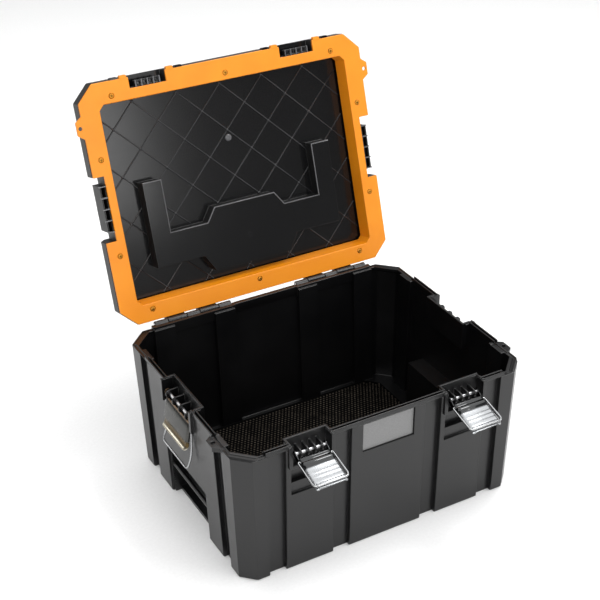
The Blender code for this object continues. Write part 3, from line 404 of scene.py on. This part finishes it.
# Ribs inside the lid: a lattice of low round ribs moulded on the skin, with a small pad at each
# crossing, and a raised round mark on the underside of the pocket.
SKIN_Z = 0.2335
POCKET_Z = 0.2135
RIB_PITCH = 0.0673
RIB_WIDTH = 0.0024
RIB_HEIGHT = 0.0011
RIB_SINK = 0.0002
RIB_SIDES = 6
RIB_STEP = 0.0005
RIB_NUMBERS = range(-5, 6)
RIB_REACH = 0.25
RIB_ROUGHNESS = 0.16
POLISHED_GRAIN = 0.05
PAD_RADIUS = 0.0024
PAD_DOME = ((0.85, 0.8), (0.5, 1.2), (0.15, 1.35))
PAD_SIDES = 12
MARK_PLACE = (0, 0.0868)
MARK_RADIUS = 0.0042
MARK_RISE = 0.5 * RIB_HEIGHT
ROUND_SIDES = 24
ROUND_CREASE = 50
LID_HOLLOW = cut_corners((-0.188, -0.137), (0.188, 0.141), 0.006)
HALF_POCKET = [(0.048, 0.035), (0.062, 0.055), (0.121, 0.055), (0.121, -0.022),
               (0.149, -0.022), (0.149, 0.101), (0.076, 0.101), (0.062, 0.126)]
POCKET = HALF_POCKET + [(-x, y) for x, y in reversed(HALF_POCKET)]
RIB_SECTION = [(0.5 * RIB_WIDTH * math.cos(turn), RIB_HEIGHT * math.sin(turn) - RIB_SINK)
               for turn in (math.pi * side / RIB_SIDES for side in range(RIB_SIDES + 1))]


def on_skin(x, y):
    """Whether a place in the closed lid shows the bare skin."""
    return inside(x, y, LID_HOLLOW) and not inside(x, y, POCKET)


def rib_runs(slope, number):
    """Stretches of one diagonal rib that lie on the bare skin, as pairs of x."""
    runs, start = [], None
    for step in range(int(2 * RIB_REACH / RIB_STEP) + 1):
        x = step * RIB_STEP - RIB_REACH
        shown = on_skin(x, slope * (RIB_PITCH * number - x))
        if shown and start is None:
            start = x
        if start is not None and not shown:
            runs.append((start, x - RIB_STEP))
            start = None
    return runs


def mould_on_lid(name, points, faces, material, crease=0):
    """A form given where it is in the closed lid, stood up with the lid and riding on it."""
    form = put(name, mesh_of(name, points, faces, crease))
    form.data.transform(lid_standing)
    form.data.materials.append(material)
    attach(form, "lid")


points, faces = [], []
for slope in (-1, 1):
    for number in RIB_NUMBERS:
        for run in rib_runs(slope, number):
            first, count = len(points), len(RIB_SECTION)
            for x in run:
                for wide, rise in RIB_SECTION:
                    side = wide / math.sqrt(2)
                    y = slope * (RIB_PITCH * number - x)
                    points.append((x + side, y + slope * side, SKIN_Z - rise))
            near, far = range(first, first + count), range(first + count, first + 2 * count)
            faces += [tuple(near), tuple(reversed(far))]
            faces += [(near[i], near[(i + 1) % count], far[(i + 1) % count], far[i])
                      for i in range(count)]

pad = [(PAD_RADIUS, SKIN_Z + RIB_SINK)]
pad += [(share * PAD_RADIUS, SKIN_Z - rise * RIB_HEIGHT) for share, rise in PAD_DOME]
for first in RIB_NUMBERS:
    for second in RIB_NUMBERS:
        x, y = RIB_PITCH * (first + second) / 2, RIB_PITCH * (first - second) / 2
        if on_skin(x, y):
            turn_round(points, faces, (x, y), pad, PAD_SIDES)

mark_root, mark_top = POCKET_Z + RIB_SINK, POCKET_Z - MARK_RISE
mark = [(MARK_RADIUS, mark_root), (0.9 * MARK_RADIUS, mark_top),
        (0.7 * MARK_RADIUS, mark_top), (0.6 * MARK_RADIUS, mark_root)]
turn_round(points, faces, MARK_PLACE, mark, ROUND_SIDES)

# Polished polypropylene: the ribs catch the light, and their base is painted a lighter grey than the skin
# as a painted highlight, so they show as thin grey lines on the black skin.
rib_highlight_black = grained_black("polypropylene_ribs_painted_highlight", "#19191b", "#202022", RIB_ROUGHNESS,
                         POLISHED_GRAIN)
mould_on_lid("lid_ribs", points, faces, rib_highlight_black, ROUND_CREASE)


# Gate stub: the domed end of the channel through which the tray's mould was filled, left standing
# near the middle of the skin.
GATE_PLACE = (0, -0.0556)
GATE_RADIUS = 0.0052
GATE_RISE = 2 * RIB_HEIGHT
GATE_RINGS = 7
HIGHLIGHT_GREY_ROUGHNESS = 0.2

# Painted highlight: the moulded black drawn as a paler grey where domes and edges catch the light.
highlight_grey = grained_black("polypropylene_painted_highlight", "#4c4c4e", "#5e5e60", HIGHLIGHT_GREY_ROUGHNESS,
                       POLISHED_GRAIN)
# The dome is pale grey as a painted highlight.
gate = [(GATE_RADIUS * math.cos(turn), SKIN_Z + RIB_SINK - GATE_RISE * math.sin(turn))
        for turn in (math.pi * ring / (2 * GATE_RINGS - 1) for ring in range(GATE_RINGS))]
points, faces = [], []
turn_round(points, faces, GATE_PLACE, gate, ROUND_SIDES)
mould_on_lid("gate_stub", points, faces, highlight_grey, ROUND_CREASE)


# Bead along the pocket's front edges: a half-round moulded with the tray, pale grey as a painted
# highlight along those edges.
BEAD_RADIUS = 0.0011
BEAD_SINK = 0.0005
BEAD_ROUNDS = 3
BEAD_KNOTS = 5


def round_bar(name, line, radius, rounds, material):
    """A round section swept along a line of points, closed at both ends."""
    bar = bpy.data.curves.new(name, "CURVE")
    bar.dimensions = "3D"
    bar.bevel_depth = radius
    bar.bevel_resolution = rounds
    bar.use_fill_caps = True
    bar.materials.append(material)
    spline = bar.splines.new("POLY")
    spline.points.add(len(line) - 1)
    for knot, point in zip(spline.points, line):
        knot.co = (*point, 1)
    return put(name, bar)


half_edge = [(x, y, POCKET_Z + BEAD_SINK) for x, y in HALF_POCKET[:BEAD_KNOTS]]
front_edge = half_edge[::-1] + [(-x, y, z) for x, y, z in half_edge]
bead = round_bar("pocket_edge_highlight_bead", front_edge, BEAD_RADIUS, BEAD_ROUNDS, highlight_grey)
bead.matrix_world = lid_standing
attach(bead, "lid")


# Lid frame: an orange polypropylene ring with a skirt round the hollow, screwed to the tray. Beside
# each front notch it has a stepped tab, and the tray shows as a small black lug beyond the tab.
FRAME_EDGE = 0.0008
MOTTLE = 0.05
ORANGE_ROUGHNESS = 0.4
ORANGE_GRAIN = 0.18
RING_Z = 0.2055
LID_FRONT = -0.171
NOTCH_PLACE = 0.116
TAB = ((0.0295, 0.0395), 0.0034, (RING_Z, RING_Z + 0.006))
LUG = ((0.0425, 0.0535), 0.0024, (RING_Z + 0.0005, RING_Z + 0.0075))
STEP_ROOT = 0.002
STEP_CORNER = 0.001


def join_on(points, faces, more_points, more_faces):
    """Adds the points and faces of one more form to a mesh in the making."""
    faces += [tuple(len(points) + i for i in face) for face in more_faces]
    points += more_points


# Orange polypropylene: a warm amber, satin, with the same grain as the black and a slow mottle.
orange, tree, shader = mottled("orange_polypropylene", MOTTLE, "#dc8106", "#e2890d",
                               ORANGE_ROUGHNESS, detail=4.0)
mould_grain(tree, shader, ORANGE_GRAIN)
finish_with(soften("lid_frame", FRAME_EDGE), orange)

for name, (across, reach, heights), finish, slot in (("lid_frame_tabs", TAB, orange, "orange"),
                                                     ("lid_lugs", LUG, black_lid, "black_lid")):
    points, faces = [], []
    for notch in (-NOTCH_PLACE, NOTCH_PLACE):
        for side in (-1, 1):
            near, far = sorted(notch + side * x for x in across)
            front, back = LID_FRONT - reach, LID_FRONT + STEP_ROOT
            outline = [(near, back), (near, front + STEP_CORNER), (near + STEP_CORNER, front),
                       (far - STEP_CORNER, front), (far, front + STEP_CORNER), (far, back)]
            join_on(points, faces, *prism(outline, *heights))
    mould_on_lid(name, points, faces, finish)


# Keeper ribs: the edges of the ribs in the blocks that the bails hook over, one row in each notch, pale
# grey as a painted highlight.
# They are moulded with the tray; each runs across its block and ends in a small nose at the front.
KEEPER_RIBS = 5
KEEPER_RIB_WIDTH = 0.0015
KEEPER_INSET = 0.007
KEEPER_LONG = 0.0089
KEEPER_NOSE = 0.0007
KEEPER_RIB_Z = (RING_Z + 0.0004, RING_Z + 0.0045)
LID_SIDE = 0.2195
FRONT_ROW_HALF = 0.0177
SIDE_ROW_HALF = 0.032
KEEPERS = [((-NOTCH_PLACE, 0), 0, -LID_FRONT, FRONT_ROW_HALF),
           ((NOTCH_PLACE, 0), 0, -LID_FRONT, FRONT_ROW_HALF),
           ((0, 0), -math.pi / 2, LID_SIDE, SIDE_ROW_HALF),
           ((0, 0), math.pi / 2, LID_SIDE, SIDE_ROW_HALF)]

points, faces = [], []
for centre, turn, lid_edge, half in KEEPERS:
    stand = Matrix.Translation((*centre, 0)) @ Matrix.Rotation(turn, 4, "Z")
    back = KEEPER_INSET + KEEPER_LONG - lid_edge
    front = KEEPER_INSET - KEEPER_NOSE - lid_edge
    for number in range(KEEPER_RIBS):
        middle = half * (2 * number / (KEEPER_RIBS - 1) - 1)
        left, right = middle - KEEPER_RIB_WIDTH / 2, middle + KEEPER_RIB_WIDTH / 2
        outline = [(left, front), (right, front), (right, back), (left, back)]
        rib_points, rib_faces = prism(outline, *KEEPER_RIB_Z)
        join_on(points, faces, [stand @ Vector(point) for point in rib_points], rib_faces)
mould_on_lid("keeper_ribs", points, faces, highlight_grey)


# Lid screws: ten self-tapping screws in yellow-passivated steel that hold the frame to the tray, each
# with a low pan head and a cross recess.
HEAD_RADIUS = 0.0033
HEAD_RISE = 0.0005
HEAD_SEAT = 0.0012
HEAD_PROFILE = ((1.0, HEAD_SEAT), (1.0, 0.0), (0.93, -0.6 * HEAD_RISE), (0.8, -HEAD_RISE))
HEAD_SIDES = 24
HEAD_CREASE = math.radians(40)
CROSS_LONG = 0.0021
CROSS_WIDE = 0.0007
CROSS_DEEP = 0.0014
CROSS_TAPER = 0.75
SCREW_ROUGHNESS = 0.42
# Heights over which painted shade darkens the cross recess.
RECESS_SHADE_DEPTHS = (-0.0001, 0.0006)
RECESS_SHADE_SPAN = (0.1, 0.9)
FRONT_SCREW_Y = -0.150
REAR_SCREW_Y = 0.1535
CORNER_SCREW_X = 0.171
SIDE_SCREW_X = 0.203
SIDE_SCREW_Y = 0.068

screw_places = [(x, FRONT_SCREW_Y) for x in (-CORNER_SCREW_X, 0, CORNER_SCREW_X)]
screw_places += [(SIDE_SCREW_X, -SIDE_SCREW_Y), (SIDE_SCREW_X, SIDE_SCREW_Y)]
screw_places += [(x, REAR_SCREW_Y) for x in (CORNER_SCREW_X, 0, -CORNER_SCREW_X)]
screw_places += [(-SIDE_SCREW_X, SIDE_SCREW_Y), (-SIDE_SCREW_X, -SIDE_SCREW_Y)]

# Yellow passivation: a brassy film on the head, with painted shade that turns it nearly black down in the
# recess.
screw_steel, tree, shader = blank_material("yellow_passivated_screw_recess_shade")
place = add(tree, "ShaderNodeTexCoord").outputs["Object"]
depth = add(tree, "ShaderNodeSeparateXYZ", {"Vector": place}).outputs["Z"]
recess_shade = add(tree, "ShaderNodeMapRange",
           {"Value": depth, "From Min": RECESS_SHADE_DEPTHS[0], "From Max": RECESS_SHADE_DEPTHS[1]})
brass_and_recess_shade = two_tone(tree, recess_shade.outputs["Result"], "#c98a35", "#2a1c0c", RECESS_SHADE_SPAN)
tree.links.new(brass_and_recess_shade, shader.inputs["Base Color"])
shader.inputs["Metallic"].default_value = 1.0
shader.inputs["Roughness"].default_value = SCREW_ROUGHNESS

shape = bmesh.new()


def loop_at(outline, height):
    """A closed loop of edges at one height in the screw head."""
    knots = [shape.verts.new((x, y, height)) for x, y in outline]
    return knots, [shape.edges.new((a, b)) for a, b in zip(knots, knots[1:] + knots[:1])]


circle = [(math.cos(turn), math.sin(turn))
          for turn in (2 * math.pi * side / HEAD_SIDES for side in range(HEAD_SIDES))]
arm = [(CROSS_WIDE / 2, CROSS_WIDE / 2), (CROSS_WIDE / 2, CROSS_LONG), (-CROSS_WIDE / 2, CROSS_LONG)]
cross = [(x * math.cos(turn) - y * math.sin(turn), x * math.sin(turn) + y * math.cos(turn))
         for turn in (math.pi * quarter / 2 for quarter in range(4)) for x, y in arm]
rings = [loop_at([(HEAD_RADIUS * share * x, HEAD_RADIUS * share * y) for x, y in circle], height)
         for share, height in HEAD_PROFILE]
mouth = loop_at(cross, -HEAD_RISE)
bottom = loop_at([(CROSS_TAPER * x, CROSS_TAPER * y) for x, y in cross], CROSS_DEEP - HEAD_RISE)
for (outer, _), (inner, _) in list(zip(rings, rings[1:])) + [(mouth, bottom)]:
    for i in range(len(outer)):
        shape.faces.new((outer[i - 1], outer[i], inner[i], inner[i - 1]))
shape.faces.new(rings[0][0])
shape.faces.new(bottom[0])
bmesh.ops.triangle_fill(shape, edges=rings[-1][1] + mouth[1], use_beauty=True)
bmesh.ops.recalc_face_normals(shape, faces=shape.faces)
head = bpy.data.meshes.new("screw_head")
shape.to_mesh(head)
shape.free()
head.materials.append(screw_steel)
head.shade_smooth()
head.set_sharp_from_angle(angle=HEAD_CREASE)
for number, (x, y) in enumerate(screw_places, start=1):
    screw = put(f"pan_head_screw_{number}", head)
    screw.matrix_world = lid_standing @ Matrix.Translation((x, y, RING_Z))
    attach(screw, "lid")
    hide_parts(f"lid_screw_{number}")


# Carry handle: a U in black polypropylene that folds into the lid's pocket and turns on two steel
# pins. It is a little greyer and duller than the lid.
HANDLE_EDGE = 0.0012
HANDLE_ROUGHNESS = 0.36

black_handle = grained_black("black_polypropylene_handle", "#0b0b0c", "#101011", HANDLE_ROUGHNESS)
finish_with(soften("carry_handle", HANDLE_EDGE), black_handle)
for pin in ("handle_pin_left", "handle_pin_right"):
    finish_with(soften(pin, PIN_EDGE), steel)


# Latch levers: presses in zinc-plated sheet steel, each on a pin in a comb of ribs under the rim. The
# sheet is rolled up over the pin at its root, falls away along both sides, and ends in a lip.
GAUGE = 0.0014
EYE_RADIUS = 0.0045
EYE_STEPS = 12
SHEET_TOP = 0.003
FALL = 0.0022
SHOULDER = 0.0042
SHOULDER_STEPS = 4
FLANGE_LOW = -0.0022
FLANGE_WAIST = 0.0252
FLANGE_TOP = ((0.0280, 0), (0.0180, GAUGE), (0.0100, GAUGE / 2))
BAIL_HOLE = 0.013
PIN_SHOWS = 0.00005
CREASES = (0.034, 0.040, 0.046)
CREASE_WIDTH = 0.0018
CREASE_DEPTH = 0.0003
PLATE_EDGE = 0.0003
PLATE_EDGE_TURN = math.radians(40)
PLATE_CREASE = 35
ROLLED = 0.009
ROLLED_SWING = 0.05
LONGEST = 0.06
WANDER = 0.012
COAT_ROUGHNESS = 0.06
# Each line runs along a lever's sheet from its root, as (out from the pin, up, inset of the sides).
FRONT_LEVER = {"half": 0.0228, "tilt": math.radians(18), "lip": 0.053, "line": [
    (0.0085, -0.0007, 0), (0.0089, 0.0010, 0), (0.0098, 0.0024, 0), (0.0112, 0.0032, 0),
    (0.0126, 0.0033, 0), (0.0142, 0.0026, 0), (0.0155, 0.0026, 0), (0.0170, 0.0037, 0),
    (0.0190, 0.0046, 0), (0.0212, 0.0048, 0), (0.0235, 0.0043, 0), (0.0258, 0.0035, 0),
    (0.0280, SHEET_TOP, 0)]}
for crease in CREASES:
    FRONT_LEVER["line"] += [(crease - CREASE_WIDTH / 2, SHEET_TOP, 0),
                            (crease, SHEET_TOP - CREASE_DEPTH, 0),
                            (crease + CREASE_WIDTH / 2, SHEET_TOP, 0)]
FRONT_LEVER["line"] += [(0.0518, SHEET_TOP, 0), (0.053, 0.0018, 0), (0.0572, 0.0018, 0),
                        (0.0588, 0.0017, 0.0007), (0.0596, 0.0015, 0.0016), (0.060, 0.0012, 0.003)]
SIDE_LEVER = {"half": 0.0371, "tilt": math.radians(79.4), "lip": 0.0365, "line": [
    (0.0085, -0.0007, 0), (0.0100, 0.0009, 0), (0.0125, 0.0021, 0), (0.0156, 0.0028, 0),
    (0.0182, SHEET_TOP, 0), (0.0362, SHEET_TOP, 0), (0.0374, 0.0020, 0), (0.0392, 0.0014, 0),
    (0.0425, 0.0013, 0), (0.0455, 0.0019, 0.0003), (0.0473, 0.0030, 0.0008),
    (0.0483, 0.0042, 0.0016), (0.0489, 0.0052, 0.0026)]}
SIDE_TURN = {"front_left": 0, "front_right": 0, "side_left": -math.pi / 2, "side_right": math.pi / 2}
pivots = {joint["child"]: Vector(joint["pos_m"]) for joint in frame["joints"]}


def lever_stand(side, sizes):
    """Where a lever stands at rest: its pin along X, the sheet along -Y."""
    turn = Matrix.Rotation(SIDE_TURN[side], 4, "Z") @ Matrix.Rotation(sizes["tilt"], 4, "X")
    return Matrix.Translation(pivots[f"lever_{side}"]) @ turn


def pressed_sheet(line, half):
    """Points and faces of a lever's sheet: its line carried across, with rounded shoulders."""
    edge = [(SHOULDER * step / SHOULDER_STEPS,
             FALL * (1 - math.sin(math.pi * step / (2 * SHOULDER_STEPS))))
            for step in range(SHOULDER_STEPS + 1)]
    points = []
    for thickness in (0, GAUGE):
        for row, (out, up, inset) in enumerate(line):
            before, after = line[max(row - 1, 0)], line[min(row + 1, len(line) - 1)]
            along = Vector((after[0] - before[0], after[1] - before[1])).normalized()
            section = [(inset + x - half, drop) for x, drop in edge]
            section += [(-x, drop) for x, drop in reversed(section)]
            points += [(x, -out - thickness * along.y, up - drop - thickness * along.x)
                       for x, drop in section]
    rows, columns = len(line), 2 * len(edge)
    grid = [[[(layer * rows + row) * columns + column for column in range(columns)]
             for row in range(rows)] for layer in (0, 1)]
    top, under = grid
    faces = []
    for row in range(rows - 1):
        for layer in grid:
            faces += [(layer[row][i], layer[row + 1][i], layer[row + 1][i + 1], layer[row][i + 1])
                      for i in range(columns - 1)]
        faces += [(top[row][i], under[row][i], under[row + 1][i], top[row + 1][i])
                  for i in (0, columns - 1)]
    for row in (0, rows - 1):
        faces += [(top[row][i], top[row][i + 1], under[row][i + 1], under[row][i])
                  for i in range(columns - 1)]
    return points, faces


def pressed_lever(name, sizes):
    """A lever's mesh, standing at its pin: the sheet, and at each side a flange with the pin's eye."""
    half, lip = sizes["half"], sizes["lip"]
    points, faces = pressed_sheet(sizes["line"], half)
    eye = [(EYE_RADIUS * math.cos(turn), EYE_RADIUS * math.sin(turn))
           for turn in (math.pi * (0.5 + step / EYE_STEPS) for step in range(EYE_STEPS + 1))]
    under = SHEET_TOP - FALL - GAUGE / 2
    flange = eye + [(BAIL_HOLE, -EYE_RADIUS), (FLANGE_WAIST, FLANGE_LOW), (lip, FLANGE_LOW), (lip, under)]
    flange += [(out, under + rise) for out, rise in FLANGE_TOP]
    for side in (-1, 1):
        inner, outer = sorted((side * (half - GAUGE), side * (half - PIN_SHOWS)))
        flat_points, flange_faces = prism(flange, inner, outer)
        join_on(points, faces, [(across, -out, up) for out, up, across in flat_points], flange_faces)
    return mesh_of(name, points, faces, PLATE_CREASE)


def plated(name, tints, roughness, coat):
    """Zinc plating, tinted by distance from a lever's pin, with a faint mottle from the rolling mill."""
    material, tree, shader = blank_material(name)
    place = add(tree, "ShaderNodeTexCoord").outputs["Object"]
    rolled = add(tree, "ShaderNodeTexNoise", {"Vector": place, "Scale": 1 / ROLLED, "Detail": 3.0})
    out = add(tree, "ShaderNodeSeparateXYZ", {"Vector": place}).outputs["Y"]
    along = add(tree, "ShaderNodeMapRange", {"Value": out, "From Min": 0, "From Max": -LONGEST})
    wander = add(tree, "ShaderNodeMath",
                 {0: rolled.outputs["Fac"], 1: WANDER, 2: along.outputs["Result"]},
                 operation="MULTIPLY_ADD")
    ramp = add(tree, "ShaderNodeValToRGB", {"Fac": wander.outputs["Value"]})
    for number, (distance, tint) in enumerate(tints):
        stops = ramp.color_ramp.elements
        stop = stops[number] if number < len(stops) else stops.new(1.0)
        stop.position = distance / LONGEST
        stop.color = linear(tint)
    tree.links.new(ramp.outputs["Color"], shader.inputs["Base Color"])
    vary_roughness(tree, shader, rolled.outputs["Fac"], roughness, ROLLED_SWING)
    shader.inputs["Metallic"].default_value = 1.0
    shader.inputs["Coat Weight"].default_value = coat
    shader.inputs["Coat Roughness"].default_value = COAT_ROUGHNESS
    return material


# Bright zinc on the front pair: nearly white on the flat, and dark over the rolled root as a painted
# reflection of the dark comb.
# The side pair is grey on the flat and brownish gold in the lip, with a painted highlight along the edge.
# The dark stop by the pin is a painted reflection.
bright_sheet = plated("bright_zinc_sheet_painted_dark_root", [(0.0268, "#131516"), (0.0290, "#8e9092")],
                      roughness=0.24, coat=1.0)
# The palest stop, at the edge, is a painted highlight.
side_zinc_sheet = plated("grey_and_gold_zinc_sheet_painted_edge_highlight",
                    [(0.0095, "#4c3d2e"), (0.0115, "#484846"), (0.0362, "#4c4c4a"),
                     (0.0378, "#433722"), (0.0450, "#5e4f34"), (0.0478, "#bcb6a6")],
                    roughness=0.3, coat=0.0)
for side in SIDE_TURN:
    at_front = side.startswith("front")
    sizes, sheet = (FRONT_LEVER, bright_sheet) if at_front else (SIDE_LEVER, side_zinc_sheet)
    finish_with(soften(f"latch_pin_{side}", PIN_EDGE), steel)
    lever = put(f"pressed_lever_{side}", pressed_lever(f"pressed_lever_{side}", sizes))
    edge = lever.modifiers.new("edge", "BEVEL")
    edge.width = PLATE_EDGE
    edge.limit_method = "ANGLE"
    edge.angle_limit = PLATE_EDGE_TURN
    lever.data.materials.append(sheet)
    lever.matrix_world = lever_stand(side, sizes)
    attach(lever, f"lever_{side}")
    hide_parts(f"latch_lever_{side}")


# Bails: loops of zinc-plated steel wire, 2.6 mm thick, whose ends are sprung into the levers' flanges.
# The front pair hook over the keepers in the lid; the side pair hang, with the ends bent outwards.
WIRE_RADIUS = 0.0013
WIRE_ROUNDS = 4
WIRE_SINK = 0.0005
WIRE_BEND = 0.0025
WIRE_ROUGHNESS = 0.22
BAIL_CORNER = 0.006
BAIL_STUB = 0.0021
BEND_STEPS = 4
LEG_STEPS = 6
CORNER_STEPS = 8
FRONT_BAIL = {"half": 0.025, "length": 0.0435, "hook": 0.0, "rest": math.asin(0.0041 / 0.0435)}
SIDE_BAIL = {"half": 0.0393, "length": 0.064, "hook": 0.007, "rest": math.radians(-8)}

# Drawn wire: zinc with the same faint spangle as the rods, a little darker and smoother.
drawn_wire, _, shader = mottled("zinc_plated_drawn_wire", SPANGLE, "#8f9091", "#acadae", WIRE_ROUGHNESS)
shader.inputs["Metallic"].default_value = 1.0


def bail_line(bail, stub):
    """Centre line of a bail, along -Y from its pivot: stub, bend, leg, corner, crossbar and back."""
    half, length = bail["half"], bail["length"]
    flat = [(stub, 0)]
    for step in range(BEND_STEPS + 1):
        turn = math.pi * step / (2 * BEND_STEPS)
        flat.append((half - WIRE_BEND * (1 - math.sin(turn)), -WIRE_BEND * (1 - math.cos(turn))))
    leg_end = length - BAIL_CORNER
    flat += [(half, -length / 2 - (leg_end - length / 2) * step / LEG_STEPS) for step in range(LEG_STEPS)]
    for step in range(CORNER_STEPS + 1):
        turn = math.pi * step / (2 * CORNER_STEPS)
        flat.append((half - BAIL_CORNER * (1 - math.cos(turn)), -leg_end - BAIL_CORNER * math.sin(turn)))
    line = [(x, y, bail["hook"] * max(0.0, -2 * y / length - 1) ** 2) for x, y in flat]
    return line + [(-x, y, z) for x, y, z in reversed(line)]


for side in SIDE_TURN:
    at_front = side.startswith("front")
    sizes, bail = (FRONT_LEVER, FRONT_BAIL) if at_front else (SIDE_LEVER, SIDE_BAIL)
    line = bail_line(bail, sizes["half"] - BAIL_STUB)
    loop = round_bar(f"wire_bail_{side}", line, WIRE_RADIUS, WIRE_ROUNDS, drawn_wire)
    eye = lever_stand(side, sizes) @ Matrix.Translation((0, -BAIL_HOLE, -WIRE_SINK))
    loop.matrix_world = eye @ Matrix.Rotation(-bail["rest"], 4, "X")
    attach(loop, f"bail_{side}")
    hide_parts(f"latch_bail_{side}")
